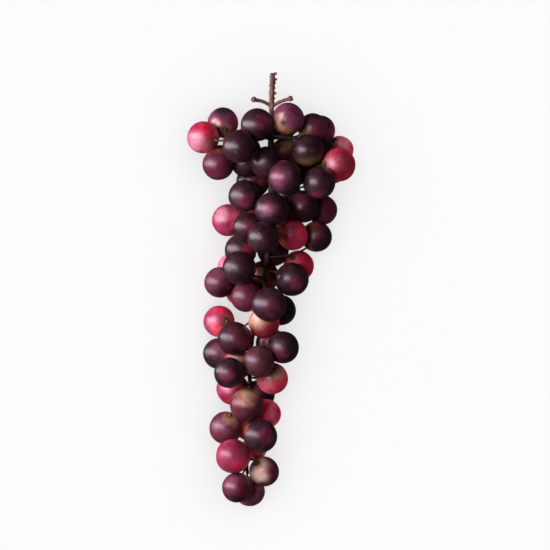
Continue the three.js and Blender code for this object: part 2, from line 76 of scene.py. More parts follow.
# The visible berries, from the deepest to the nearest: across, along, diameter, skin, patches of
# other colours, and the place of the blossom's scar beside the middle, where it shows. A patch has
# a colour, where it is as on a clock's face, how far out from the middle to the rim, and its size.
# Some skins and patches are painted highlights, painted shade or painted light, as noted at their
# rows.
BERRIES = [
    (10, 53.5, 20, "plum", [("olive", 12, 0.6, 0.6), ("wine", 5, 0.5, 0.5)]),
    # The pale pink skin paints light onto a berry that lies in shade.
    (-13, 235, 18, "pink", [("rose", 9, 0.6, 0.6)]),
    (-12, 72, 20.5, "dark", [("rust", 12, 0.6, 0.5), ("wine", 5, 0.6, 0.5)]),
    # The dark patch on the right is painted shade.
    (-2.5, 137, 19.5, "rust", [("dark", 3, 0.8, 0.6)]),
    (7.5, 82.5, 20, "black", [("wine", 3, 0.8, 0.3)]),
    (-6.5, 214.5, 19.5, "dark", [("magenta", 12, 0.6, 0.5)]),
    (2.5, 118, 20.5, "dark", [("plum", 6, 0.8, 0.4)]),
    # The very pale pink skin paints light onto a berry that lies in shade.
    (-10.5, 250.5, 17, "painted_light_pink", [("crimson", 5, 0.8, 0.4)]),
    # The very pale pink skin paints light onto a berry that lies in shade.
    (46.5, 51.5, 18.5, "painted_light_pink", [("rose", 3.5, 0.8, 0.5), ("olive", 9, 1, 0.35)]),
    (35, 91.5, 19.5, "plum", [("magenta", 9.5, 0.4, 0.7), ("olive", 7, 1, 0.4)]),
    # The rose skin, paler than the berry's deep red, paints light onto it where it lies in shade.
    (-2.5, 227.5, 19.5, "rose", [("crimson", 3, 0.9, 0.7)]),
    # The broad pink patch over the middle paints light onto a berry in shade; the magenta patch on
    # the right is uneven skin colour that also paints light shining through the skin.
    (-13.5, 279.5, 20, "violet", [("pink", 12.5, 0.3, 0.8), ("magenta", 3.5, 0.9, 0.5)]),
    # The dark patch at the bottom is painted shade; the magenta patch right of the middle is uneven
    # skin colour that also paints light shining through the skin.
    (-22, 276.5, 20, "plum", [("violet", 11, 0.4, 0.6), ("magenta", 2.5, 0.4, 0.5),
     ("dark", 6, 0.9, 0.6), ("orange", 1, 1, 0.4)]),
    # The magenta patch on the right is uneven skin colour that also paints light shining through the
    # skin.
    (-8.5, 35.5, 22, "dark", [("magenta", 2, 0.5, 0.5)]),
    (-34.5, 187.5, 20.5, "dark", [("pink", 3, 0.75, 0.55), ("violet", 12, 0.4, 0.5)]),
    # The pale pink patch on the upper left is a painted highlight.
    (-26, 211.5, 20, "raspberry", [("pink", 11, 0.4, 0.5), ("rose", 3, 0.9, 0.5),
     ("crimson", 6, 0.8, 0.4)]),
    # The pale pink patch on the left is a painted highlight.
    (-34, 166, 21, "raspberry", [("pink", 9, 0.5, 0.3), ("rose", 6, 0.7, 0.6),
     ("crimson", 12, 0.8, 0.5), ("orange", 2.5, 0.95, 0.5)]),
    (-25.5, 130, 19.5, "rose", [("pink", 9, 0.8, 0.6)]),
    (-33.5, 58.5, 20.5, "dark", []),
    # The dark patch at the bottom rim is painted shade.
    (-29.5, 237, 22, "plum", [("violet", 9, 0.3, 0.6), ("beige", 1, 0.7, 0.5),
     ("olive", 2.5, 1, 0.5), ("dark", 6.5, 1, 0.6)]),
    (-24.5, 255.5, 23, "raspberry", [("crimson", 4.5, 0.8, 0.6), ("orange", 1.5, 1, 0.4)]),
    # The wine patch on the right is uneven skin colour that also paints light shining through the
    # skin.
    (-19.5, 118.5, 21.5, "dark", [("wine", 3, 0.6, 0.5)], (-7.2, 0)),
    (-16, 60.5, 19.5, "dark", [("wine", 12, 0.8, 0.6)]),
    (-2, 60.5, 21.5, "dark", [("black", 1, 0.6, 0.6)]),
    # The black patch on the lower right is painted shade.
    (31, 109.5, 20.5, "dark", [("plum", 11, 0.4, 0.9), ("rust", 11, 0.9, 0.5),
     ("black", 5, 0.9, 0.7)]),
    # The magenta patch on the right is uneven skin colour that also paints light shining through the
    # skin.
    (-6.5, 242, 22.5, "dark", [("magenta", 3, 0.4, 0.5), ("rust", 10, 1, 0.4)]),
    (10, 70.5, 22.5, "dark", [("violet", 9, 0.4, 0.7), ("rose", 12, 1.05, 0.3)]),
    # The black patch on the lower right is painted shade.
    (22, 89.5, 20.5, "dark", [("plum", 11, 0.5, 0.6), ("black", 4, 0.8, 0.6)]),
    (15, 108.5, 20.5, "crimson", [("orange", 8.5, 0.9, 0.6), ("raspberry", 12, 0.4, 0.5)]),
    (-20, 145.5, 20, "wine", [("rust", 12, 0.5, 0.8)]),
    # The dark patch at the bottom rim is painted shade.
    (-33.5, 140, 20.5, "plum", [("beige", 1, 0.9, 0.4), ("violet", 12, 0.6, 0.5),
     ("dark", 5.5, 0.9, 0.7)]),
    # The dark patch at the top rim is painted shade; the pink patch on the lower right paints light
    # onto the shaded side.
    (33.5, 38.5, 20, "violet", [("dark", 12.5, 0.95, 0.5), ("pink", 4, 0.75, 0.6)]),
    (34.5, 54, 20, "plum", [("orange", 6, 0.9, 0.6), ("black", 1, 0.9, 0.5)]),
    # The pale pink patch on the upper left is a painted highlight.
    (45.5, 62, 22.5, "crimson", [("wine", 3, 0.4, 0.9), ("pink", 10, 0.6, 0.5),
     ("orange", 9, 1, 0.45), ("cream", 9, 0.95, 0.15)]),
    (32.5, 74, 21.5, "dark", [("magenta", 6, 0.8, 0.4)]),
    # The dark patch at the top rim is painted shade; the magenta patch right of the middle is uneven
    # skin colour that also paints light shining through the skin.
    (28.5, 37.5, 20, "plum", [("dark", 12, 0.9, 0.6), ("magenta", 4, 0.4, 0.6),
     ("olive", 8.5, 0.9, 0.7), ("orange", 8, 1.05, 0.45)]),
    (25, 52.5, 21.5, "dark", [("olive", 6, 0.95, 0.7), ("orange", 6, 1.1, 0.5)]),
    # The dark patch at the bottom rim is painted shade.
    (-15.5, 221.5, 22.5, "plum", [("beige", 12, 0.7, 0.8), ("olive", 12.5, 1, 0.6),
     ("dark", 5.5, 1, 0.7)], (3.8, 4.8)),
    # The rose skin, paler than the berry's own, and the large beige patch on top, partly its own
    # colour, paint light onto it where it lies in shade.
    (1.5, 204, 21, "rose", [("beige", 11.5, 0.5, 0.9), ("crimson", 5, 0.9, 0.7)]),
    # The dark patch at the top rim is painted shade; the cream patch on the left is a painted
    # highlight.
    (-31.5, 33.5, 20.5, "violet", [("dark", 12, 0.9, 0.6), ("cream", 9, 0.5, 0.3),
     ("orange", 5.5, 0.9, 0.45)]),
    # The dark patch past the bottom rim is painted shade; the magenta patch on the lower right is
    # uneven skin colour that also paints light shining through the skin.
    (-34.5, 61.5, 21, "plum", [("magenta", 5, 0.4, 0.6), ("rust", 12.5, 0.95, 0.45),
     ("dark", 6, 1.05, 0.5)]),
    (-20.5, 50, 22, "dark", []),
    (0.5, 180.5, 20, "plum", [("rose", 1, 0.5, 0.8)]),
    # The black patch on the right is painted shade.
    (8.5, 183.2, 21.5, "dark", [("magenta", 7, 0.5, 0.5), ("rust", 8.5, 1, 0.4),
     ("black", 3, 0.8, 0.7)]),
    # The magenta patch on the right is uneven skin colour that also paints light shining through the
    # skin.
    (-16, 149.5, 20.5, "plum", [("magenta", 4, 0.5, 0.6), ("rust", 12, 1, 0.5)], (-5.4, 0.4)),
    (-20.5, 130.5, 22.5, "dark", [("rust", 5, 1.1, 0.3)]),
    # The pale pink patch on the left is a painted highlight.
    (-44.5, 43.5, 21.5, "raspberry", [("crimson", 12.5, 0.7, 0.7), ("pink", 8, 0.6, 0.7),
     ("rose", 3, 0.9, 0.4), ("orange", 5, 0.95, 0.5)]),
    (-21.5, 194.5, 20, "wine", [("beige", 12, 0.6, 0.7)]),
    (-7.5, 192.5, 21, "mauve", [("plum", 4, 0.7, 0.6), ("rust", 7, 1, 0.4)]),
    (-27, 200, 20.5, "dark", [("magenta", 7, 0.25, 0.45)]),
    (-23.5, 177.5, 22.5, "dark", [("plum", 2.5, 0.4, 0.7), ("wine", 3.5, 0.85, 0.4)]),
    # The black patch past the right rim is painted shade; the magenta patch on the right is uneven
    # skin colour that also paints light shining through the skin.
    (-4, 266, 20, "plum", [("cream", 9.5, 0.35, 0.85), ("rust", 11, 0.95, 0.4),
     ("magenta", 3, 0.6, 0.4), ("black", 3, 1.1, 0.4)], (-1.5, -9.2)),
    # The black patch on the right is painted shade.
    (7, 158.5, 20.5, "dark", [("black", 3, 0.8, 0.6)]),
    (-4, 167, 20.5, "crimson", [("wine", 5, 0.5, 0.8), ("rust", 1, 0.5, 0.5),
     ("beige", 9.5, 0.6, 0.7), ("cream", 10.5, 0.75, 0.35)]),
    (-0.5, 154.5, 23, "dark", [("plum", 4, 0.4, 0.6)]),
    # The pale pink patch on the upper left is a painted highlight.
    (-28, 98.5, 21.5, "raspberry", [("pink", 10, 0.6, 0.5), ("rose", 3, 0.8, 0.7),
     ("orange", 1.5, 0.95, 0.4)]),
    # The magenta patch on the right is uneven skin colour that also paints light shining through the
    # skin.
    (-15, 103, 19.5, "dark", [("magenta", 3, 0.3, 0.5)]),
    (-17, 82.5, 21.5, "dark", [("magenta", 5.5, 0.4, 0.5), ("rust", 5, 1.1, 0.3)]),
    (1, 91.5, 22.5, "dark", [("violet", 9, 0.2, 0.5), ("orange", 6.5, 1.05, 0.4)]),
    (-4.5, 110.5, 21.5, "dark", [], (-4.8, -7.8)),
    (19, 129, 20.5, "crimson", [("rust", 10, 0.9, 0.5)]),
    # The magenta patch on the right is uneven skin colour that also paints light shining through the
    # skin.
    (14.5, 138, 22.5, "dark", [("magenta", 4, 0.4, 0.4)]),
    # The cream patch on the left is a painted highlight; the black patch past the right rim is
    # painted shade.
    (12, 31.5, 21.5, "violet", [("cream", 9.5, 0.5, 0.25), ("olive", 7, 0.9, 0.8),
     ("beige", 8, 0.85, 0.5), ("dark", 8, 0.3, 0.16), ("black", 3, 1.1, 0.45)], (-2, -1.2)),
]

# So many of the first rows lie under the stem's axis and aren't lifted by it.
UNDER_AXIS = 8

# Berries that close a gap between those above them, by their place in the table: how far they
# move right and down, and how much they grow.
CLOSERS = {
    (2.5, 118): (-0.5, 0.8, 1.03),
    (-2.5, 137): (-2, -1, 1.08),
    (7.5, 82.5): (3, -0.5, 1.06),
    (-12, 72): (0.5, 0.6, 1.08),
    (22, 89.5): (0, 0, 1.05),
    (35, 91.5): (-0.3, 0.2, 1.04),
    (-13, 235): (-1, 1.5, 1.03),
    (-26, 211.5): (1, -0.5, 1.08),
}

# The berries that the others hide. They are tried in turn from these least heights, with these
# diameters, a step apart, where a gap is this near, and draw their sizes by a seed.
FILLERS = [(0, 19.5), (24, 19.5), (36, 19.5), (0, 16), (20, 16), (32, 16)]
FILLER_SPREAD = 2
FILL_STEP = 2
FILL_REACH = 6
FILL_OVERLAP = 0.3
FILL_SEED = 4711

# A hidden berry has all these points of its rim, drawn in a little, under another berry, or so
# near the stem that the gap beside it is dark. The bare end of the stem hides nothing.
COVER_POINTS = 8
COVER_SHARE = 0.9
STEM_VIEW = 5
BARE_STEM = 40

# The stem's main axis and the limbs that berries keep clear of: across, along, height, radius.
TWIG_RADIUS = 1.1
TWIG_KNOB = 2.1
AXIS = [
    (1.7, 0, 20, 1.7), (0.8, 28, 20, 1.6), (0.6, 45, 20, 2.1), (0.2, 70, 20, 1.9),
    (0, 82, 21, 1.9), (0, 95, 22, 1.8), (-1.5, 119, 23, 1.7), (-4.5, 137, 22.5, 1.6),
    (-7, 150, 19, 1.5), (-10.5, 165, 15.5, 1.5), (-12.5, 180, 14.5, 1.4), (-14, 194, 13.5, 1.4),
    (-13.8, 205, 16, 1.3), (-13.8, 214, 18.5, 1.3), (-14.5, 235, 20, 1.2),
    (-15.3, 250, 23.3, 1.1), (-15.5, 262, 20, 1), (-15, 267, 18, 1),
]
LEFT_BRANCH = [
    (0.6, 43, 20, 1.6), (-4, 42.5, 25, 1.5), (-10, 43, 31, 1.4), (-20, 45, 36, 1.3),
    (-31, 45.5, 33, 1.3),
]
RIGHT_BRANCH = [(0.6, 43, 20, 1.6), (9, 43.3, 24, 1.5), (18, 43.8, 25, 1.4)]
LEFT_TWIG = [
    (0.8, 22.7, 20, TWIG_RADIUS), (-5, 19.5, 21.5, TWIG_RADIUS), (-9.2, 18.7, 22.5, TWIG_RADIUS),
    (-10.7, 18.3, 22.8, TWIG_KNOB), (-12.3, 17.8, 23, TWIG_KNOB * 0.6),
]
RIGHT_TWIG = [
    (0.8, 23.3, 20, TWIG_RADIUS), (6.5, 19.8, 21, TWIG_RADIUS), (11.8, 18.1, 21.4, TWIG_RADIUS),
    (13.3, 17.7, 21.5, TWIG_KNOB), (14.9, 17.2, 21.6, TWIG_KNOB * 0.6),
]

# Small nubs on the cut end of the stem: across, along, height, radius.
NUBS = [
    (3.7, 0.9, 20.5, 0.9), (3.9, 4.8, 20.3, 0.8), (3.4, 7.0, 20, 0.6), (3.2, 10.5, 20.6, 0.6),
    (3.3, 14.0, 20, 0.9), (2.9, 17.5, 20, 0.6), (-0.1, 3.0, 20, 0.5), (-0.3, 9.0, 20.4, 0.5),
    (-0.6, 13.5, 20, 0.6), (0.9, 1.2, 21.2, 0.7),
]
# Places at which a stalk is bent: across, along, height, reach, and the move across and along.
BENDS = [(-20, 165, 18.5, 6.5, 0, 6), (-5, 48.5, 15.5, 7, 0, 4)]

# The bark: how fine the mesh is, its rounds of smoothing, how far it stands proud, how close
# together and how high its knots are, how much of their height is left where the stem is hidden,
# where it changes from bare to hidden, and how far a collar reaches.
BARK_VOXEL = 0.36
BARK_ROUNDS = 6
BARK_PROUD = 0.22
KNOTS = [(0.7, 0.22), (1.7, 0.1)]
HIDDEN_KNOTS = 0.4
# Past the bare end the bark is near-black brown, as painted shade among the berries.
BARE_END = 34
BARE_FADE = 10
COLLAR_REACH = 4

# The colours of the skins and of their patches, some of which are painted highlights, painted shade
# or painted light.
TONES = {
    "black": "#1e0d16",
    "dark": "#2c101a",
    "plum": "#5a2234",
    "violet": "#743656",
    "magenta": "#6e2444",
    "wine": "#94283c",
    "crimson": "#d03458",
    "raspberry": "#902e54",
    "rose": "#ea7690",
    "pink": "#c47a90",
    "rust": "#8c4430",
    "mauve": "#583038",
    # A very pale pink that paints light onto berries lying in the shade of others.
    "painted_light_pink": "#ffa8be",
    "orange": "#c87850",
    "olive": "#7c603e",
    "beige": "#a8846c",
    "cream": "#d8beae",
}
DARK_TONES = ("dark", "black")
RED_TONES = ("crimson", "raspberry", "rose", "painted_light_pink", "pink")

# How much of the light that enters a skin of each family comes out elsewhere, and how far away.
FAMILIES = {"dark": (0.6, 5.0), "plum": (0.9, 8.0), "red": (1.0, 16.0)}

# The patches that each family has on its underside.
UNDER_PATCHES = {
    "dark": ("magenta", "plum"),
    "plum": ("dark", "rust"),
    "red": ("crimson", "orange"),
}

# The looks of the hidden berries, which take turns.
HIDDEN_LOOKS = [
    ("dark", []),
    ("plum", [("olive", 6, 0.8, 0.5)]),
    ("wine", [("rust", 9, 0.7, 0.6)]),
    ("dark", [("magenta", 1, 0.5, 0.5)]),
    ("crimson", [("orange", 5, 0.9, 0.5)]),
]

# A patch: how far it reaches for its size and over how much of that it fades, how ragged its edge
# is, and how far past the rim one lies that is placed further out than the rim.
PATCH_REACH = 1.5
PATCH_FADE = 1.1
PATCH_RAGGED = 0.07
PAST_RIM = 3
# The least and the spread of a patch's way out and size on the underside, and of the bloom.
UNDER_OUTWARD = (1.25, 0.35)
UNDER_SIZE = (0.35, 0.3)
BLOOM = (0.35, 0.65)

# The mesh of a berry: its sides, and the angles from the stalk's end at which its rings lie.
BERRY_SIDES = 52
RINGS = [0.05, 0.1, 0.16, 0.23, 0.31, 0.4, 0.5]
RING_STEP = 0.12
# How uneven it is, about a full turn of its waves, and the dips and rises around its ends: the
# end, the angle from it, the height and the width.
LUMPS = 0.006
TURN = 6.3
RELIEF = [
    ("stalk", 0, -0.55, 0.24), ("stalk", 0.42, 0.12, 0.15),
    ("scar", 0, -0.12, 0.2), ("scar", 0, 0.22, 0.055),
]
# How high above the surface its lowest points lie.
FLOOR_GAP = 0.02
# How far apart the berries' own parts of the noise lie, and how it is drawn out from end to end.
GRAIN_SPREAD = 900
LONG_GRAIN = (5.5, 5.5, 1.1)
# The seed of the first berry, the step to the next one's, and how many numbers each one draws.
BERRY_SEED = 1009
SEED_STEP = 31
DRAWS = 12

# The camera looks straight down through a long lens, from so far that the sides stay parallel.
VIEW_MIDDLE = (2.45 * MM, 9.51 * MM)
VIEW_WIDTH = 366.7 * MM
VIEW_DISTANCE = 5.0
VIEW_LEVEL = 15 * MM
SENSOR = 36.0

# The point that the lights look at, the window, and the room around.
LIT_POINT = (0, 0, 0.03)
WINDOW_AT = (-1.15, 0.2, 0.55)
WINDOW_SIZE = (0.55, 3.0)
WINDOW_POWER = 72.0
ROOM_LEFT = "#78787c"
ROOM_RIGHT = "#2c2c2e"
ROOM_BELOW = "#303030"
SEEN_ROOM = "#f9f9f9"

# The floor, and the strengths of the two soft lights on it, of which only one casts shadows.
FLOOR_HALF = 15.0
FLOOR_TONE = "#8c8c8c"
SHADED_WASH = 0.4
EVEN_WASH = 11.1
WASH_SPREAD = 110
WASH_AT = (0, 0, 2)


def place(across, along, height):
    """A point of the bunch, from its place across, along and above the surface."""
    return np.array([across - MIDDLE_ACROSS, MIDDLE_ALONG - along, height], float)


def seeded(seed):
    """Seeded numbers from 0 to 1, the same ones each time."""
    state = seed
    while True:
        state = (state * 16807) % 2147483647
        yield state / 2147483647


class Limb:
    """A smooth curve through listed points, with its thickness at each of them."""

    DIVISIONS = 200

    def __init__(self, rows):
        self.points = [place(across, along, height) for across, along, height, _ in rows]
        self.radii = [row[3] for row in rows]
        steps = [self.point_of(k / self.DIVISIONS) for k in range(self.DIVISIONS + 1)]
        lengths = [0.0]
        for before, after in zip(steps, steps[1:]):
            lengths.append(lengths[-1] + math.dist(before, after))
        self.lengths = lengths

    def point_of(self, t):
        points, last = self.points, len(self.points) - 1
        at = t * last
        k = min(int(at), last - 1)
        share = at - k
        p1, p2 = points[k], points[k + 1]
        p0 = points[k - 1] if k > 0 else 2 * p1 - p2
        p3 = points[k + 2] if k + 2 <= last else 2 * p2 - p1
        d0, d1, d2 = (math.dist(a, b) ** 0.5 for a, b in ((p0, p1), (p1, p2), (p2, p3)))
        t1 = ((p1 - p0) / d0 - (p2 - p0) / (d0 + d1) + (p2 - p1) / d1) * d1
        t2 = ((p2 - p1) / d1 - (p3 - p1) / (d1 + d2) + (p3 - p2) / d2) * d1
        c2 = 3 * (p2 - p1) - 2 * t1 - t2
        c3 = 2 * (p1 - p2) + t1 + t2
        return p1 + t1 * share + c2 * share**2 + c3 * share**3

    def t_at(self, share):
        """The curve's own parameter at a share of its length."""
        wanted = share * self.lengths[-1]
        k = int(np.searchsorted(self.lengths, wanted, side="right")) - 1
        k = min(k, self.DIVISIONS - 1)
        part = (wanted - self.lengths[k]) / (self.lengths[k + 1] - self.lengths[k])
        return (k + part) / self.DIVISIONS

    def at(self, share):
        return self.point_of(self.t_at(share))

    def radius(self, share):
        at = self.t_at(share) * (len(self.radii) - 1)
        k = min(int(at), len(self.radii) - 2)
        return self.radii[k] + (self.radii[k + 1] - self.radii[k]) * (at - k)

    def balls(self):
        """Balls along it, one for each two millimetres: x, y, z, radius."""
        count = math.ceil(self.lengths[-1] / 2)
        return [(*self.at(k / count), self.radius(k / count)) for k in range(count + 1)]


def settle(rows, balls):
    """Lets each berry down until it lies on the surface, on a limb or on an earlier berry."""
    settled = []
    for across, along, diameter in rows:
        radius = diameter / 2
        x, y, z = place(across, along, radius - FLAT_DEPTH)
        under = [(b, b[3] - PRESS + radius) for b in settled]
        if len(settled) >= UNDER_AXIS:
            under += [(b, b[3] + STEM_GAP + radius) for b in balls]
        for other, reach in under:
            flat = math.hypot(other[0] - x, other[1] - y)
            if flat < reach:
                z = max(z, other[2] + math.sqrt(reach**2 - flat**2))
        settled.append((x, y, z, radius))
    return settled


def is_covered(x, y, z, radius, visible, balls):
    """Whether a berry is hidden from above by others, but for the gaps along the stem."""
    above = [b for b in visible if b[2] > z]
    bare_end = MIDDLE_ALONG - BARE_STEM
    stem = [b for b in balls if b[1] < bare_end and b[2] > z]
    for k in range(COVER_POINTS):
        turn = 2 * math.pi * k / COVER_POINTS
        rim_x = x + math.cos(turn) * radius * COVER_SHARE
        rim_y = y + math.sin(turn) * radius * COVER_SHARE
        over = any(math.hypot(b[0] - rim_x, b[1] - rim_y) < b[3] for b in above)
        if not over and not any(math.hypot(b[0] - rim_x, b[1] - rim_y) < STEM_VIEW for b in stem):
            return False
    return True


def fill(visible, balls):
    """Puts further berries into what room is left, each pressed against one that is there."""
    berries = np.array(visible)
    limbs = np.array(balls)
    draw = seeded(FILL_SEED)

    def gaps(others, at, radius):
        return np.sqrt(((others[:, :3] - at) ** 2).sum(1)) - others[:, 3] - radius

    for least, diameter in FILLERS:
        for along in range(FIRST_BERRY_ALONG, LAST_BERRY_ALONG, FILL_STEP):
            for across in range(-BUNCH_HALF_WIDTH, BUNCH_HALF_WIDTH, FILL_STEP):
                radius = (diameter + FILLER_SPREAD * (next(draw) - 0.5)) / 2
                at = place(across, along, max(least, radius - FLAT_DEPTH))
                to = gaps(berries, at, radius)
                mate = int(np.argmin(to))
                if abs(to[mate]) > FILL_REACH:
                    continue
                reach = berries[mate, 3] + radius - PRESS
                away = at - berries[mate, :3]
                rise = away[2] if least == 0 else 0
                if least == 0:
                    away[2] = 0
                length = np.linalg.norm(away)
                if length == 0:
                    continue
                flat = math.sqrt(max(0, reach**2 - rise**2))
                at = at - away + away * (flat / length)
                too_deep = gaps(berries, at, radius).min() <= -PRESS - FILL_OVERLAP
                if at[2] < radius - FLAT_DEPTH or too_deep:
                    continue
                if gaps(limbs, at, radius).min() <= STEM_GAP:
                    continue
                if is_covered(*at, radius, visible, balls):
                    berries = np.vstack([berries, [*at, radius]])
    return [list(berry) for berry in berries]


def press_together(berries, balls):
    """Draws together the berries that nearly touch, and eases those that press too far."""
    start = [tuple(berry) for berry in berries]
    limbs = np.array(balls)
    for _ in range(PRESS_ROUNDS):
        for i, a in enumerate(berries):
            for b in berries[i + 1 :]:
                dx, dy, dz = b[0] - a[0], b[1] - a[1], b[2] - a[2]
                length = math.sqrt(dx * dx + dy * dy + dz * dz)
                gap = length - a[3] - b[3] + PRESS
                if gap > PRESS_NEAR:
                    continue
                move = gap * (PRESS_PULL if gap > 0 else 0.5) / length
                for k, d in enumerate((dx, dy, dz)):
                    a[k] += d * move
                    b[k] -= d * move
        for berry, (x, y, z, radius) in zip(berries, start):
            near = np.sqrt(((limbs[:, :3] - berry[:3]) ** 2).sum(1)) - limbs[:, 3] - radius
            for ball in limbs[near < STEM_NEAR]:
                out = [berry[k] - ball[k] for k in range(3)]
                length = math.sqrt(sum(v * v for v in out))
                missing = ball[3] + STEM_GAP + radius - length
                if missing > 0:
                    for k in range(3):
                        berry[k] += out[k] / length * missing
            dx, dy = berry[0] - x, berry[1] - y
            drift = math.hypot(dx, dy)
            if drift > PRESS_DRIFT:
                dx, dy = dx * PRESS_DRIFT / drift, dy * PRESS_DRIFT / drift
            lowest = radius - FLAT_DEPTH
            berry[0], berry[1] = x + dx, y + dy
            berry[2] = lowest if z < radius else max(berry[2], lowest)
    return berries


class Value:
    """A socket of a shader, which numbers and other sockets are added to or multiplied by."""

    def __init__(self, shader, socket):
        self.shader, self.socket = shader, socket

    def __add__(self, other):
        return self.shader.maths("ADD", self, other)

    def __sub__(self, other):
        return self.shader.maths("SUBTRACT", self, other)

    def __mul__(self, other):
        return self.shader.maths("MULTIPLY", self, other)

    __radd__ = __add__

    def smooth(self, low, high, start=0.0, end=1.0):
        """Goes smoothly from start to end as this goes from low to high."""
        ranged = {"interpolation_type": "SMOOTHSTEP"}
        return self.shader.node("MapRange", ranged, {0: self, 1: low, 2: high, 3: start, 4: end})


class Shader:
    """The nodes of a material or of the world."""

    def __init__(self, tree):
        self.tree = tree
        tree.nodes.clear()

    def node(self, kind, settings=None, values=None, output=0):
        """Adds a node, sets it, fills its sockets with numbers or links, and gives an output."""
        made = self.tree.nodes.new("ShaderNode" + kind)
        for name, setting in (settings or {}).items():
            setattr(made, name, setting)
        for key, value in (values or {}).items():
            if isinstance(value, Value):
                self.tree.links.new(value.socket, made.inputs[key])
            else:
                made.inputs[key].default_value = value
        return Value(self, made.outputs[output]) if made.outputs else None

    def maths(self, operation, *values):
        return self.node("Math", {"operation": operation}, dict(enumerate(values)))

    def attribute(self, name, output="Fac"):
        return self.node("Attribute", {"attribute_name": name}, output=output)

    def noise(self, where, size, detail=2.0, roughness=0.5, distortion=0.0):
        """Soft noise from 0 to 1, whose lumps are about so many millimetres wide."""
        values = {"Vector": where, "Scale": 1 / size, "Detail": detail}
        values |= {"Roughness": roughness, "Distortion": distortion}
        return self.node("TexNoise", {}, values)

    def mix(self, share, one, other, blend="MIX"):
        settings = {"data_type": "RGBA", "blend_type": blend}
        return self.node("Mix", settings, {0: share, 6: one, 7: other}, output=2)


def colour(code):
    """A web colour as Blender's linear one."""
    shades = [int(code[k : k + 2], 16) / 255 for k in (1, 3, 5)]
    linear = [s / 12.92 if s <= 0.04045 else ((s + 0.055) / 1.055) ** 2.4 for s in shades]
    return (*linear, 1.0)


def new_material(name):
    material = bpy.data.materials.new(name)
    material.use_nodes = True
    return material, Shader(material.node_tree)


def skin_ground(shader, grain, mottle):
    """The skin's own colour, with its soft clouds and dark mottles."""
    clouds = shader.noise(grain, 7.0, detail=3.0)
    skin = shader.attribute("skin", "Color")
    base = shader.mix(clouds.smooth(0.4, 0.7), skin, colour("#a86a80"), "OVERLAY")
    return shader.mix(mottle.smooth(0.4, 0.8) * 0.3, base, colour("#2a1018"), "MULTIPLY")


def skin_veins(shader, base, grain, long_grain):
    """Adds fine veins that run from end to end, and pale dots."""
    veins = shader.noise(long_grain, 1.0, detail=1.0, distortion=0.4)
    vein = shader.maths("ABSOLUTE", veins - 0.5).smooth(0.0, 0.035, 1.0, 0.0)
    base = shader.mix(vein * 0.16, base, colour("#1c0c12"))
    dots = shader.node("TexVoronoi", {}, {"Vector": grain, "Scale": 0.55, "Randomness": 1.0})
    dot = dots.smooth(0.05, 0.11, 1.0, 0.0)
    return shader.mix(dot * 0.22, base, colour("#a08a78")), vein, dot


def skin_ends(shader, base, mottle, fine):
    """Adds the tan ring and the pit at the stalk, and the blossom's scar at the other end."""
    stalk_end = shader.attribute("stalk_end")
    scar = shader.attribute("scar")
    tan = (stalk_end + (mottle - 0.5) * 3.0).smooth(2.0, 5.5, 1.0, 0.0)
    pit = (stalk_end + (mottle - 0.5) * 1.5).smooth(1.4, 2.8, 1.0, 0.0)
    base = shader.mix(tan * 0.6, base, colour("#96694a"))
    base = shader.mix(pit * 0.8, base, colour("#3c2218"))
    scar_ring = (scar + (fine - 0.5) * 0.6).smooth(0.6, 1.4, 1.0, 0.0)
    scar_dot = (scar + (fine - 0.5) * 0.4).smooth(0.25, 0.6, 1.0, 0.0)
    base = shader.mix(scar_ring * 0.18, base, colour("#9a7c68"))
    return shader.mix(scar_dot * 0.6, base, colour("#1d0f0c")), scar_ring, scar_dot


def skin_bloom(shader, grain, long_grain):
    """How much of the waxy bloom is left, which is rubbed off in places."""
    rubbed = shader.noise(grain, 5.0, detail=4.0, roughness=0.65)
    dust = shader.noise(long_grain, 0.55, detail=3.0, roughness=0.7)
    left = rubbed.smooth(0.3, 0.7) * (dust.smooth(0.3, 0.7) * 0.6 + 0.4)
    return left * shader.attribute("bloom")


def skin_material(name, translucence, depth):
    """The waxy skin of a grape, with its bloom, veins, dots and scars."""
    material, shader = new_material(name)
    grain = shader.attribute("grain", "Vector")
    long_grain = shader.attribute("long_grain", "Vector")
    mottle = shader.noise(grain, 1.6, detail=3.0, roughness=0.6)
    fine = shader.noise(grain, 0.5, detail=2.0)
    base = skin_ground(shader, grain, mottle)
    base, vein, dot = skin_veins(shader, base, grain, long_grain)
    base, scar_ring, scar_dot = skin_ends(shader, base, mottle, fine)
    bloom = skin_bloom(shader, grain, long_grain)
    base = shader.mix(bloom * 0.09, base, colour("#9c7888"))
    height = fine * 0.25 + mottle * 0.5 + vein * 0.15 - scar_dot * 1.0 + dot * 0.1
    relief = shader.node("Bump", {}, {"Strength": 0.35, "Distance": 0.12 * MM, "Height": height})
    values = {
        "Base Color": base,
        "Roughness": 0.32 + bloom * 0.11 + fine * 0.06 + scar_ring * 0.1,
        "Normal": relief,
        "IOR": 1.5,
        "Specular Tint": colour("#eed2e0"),
        "Coat Weight": bloom * 0.38,
        "Coat Roughness": 0.48,
        "Subsurface Weight": translucence,
        "Subsurface Radius": (1.0, 0.34, 0.44),
        "Subsurface Scale": depth * MM,
    }
    surface = shader.node("BsdfPrincipled", {}, values)
    shader.node("OutputMaterial", {}, {"Surface": surface})
    return material


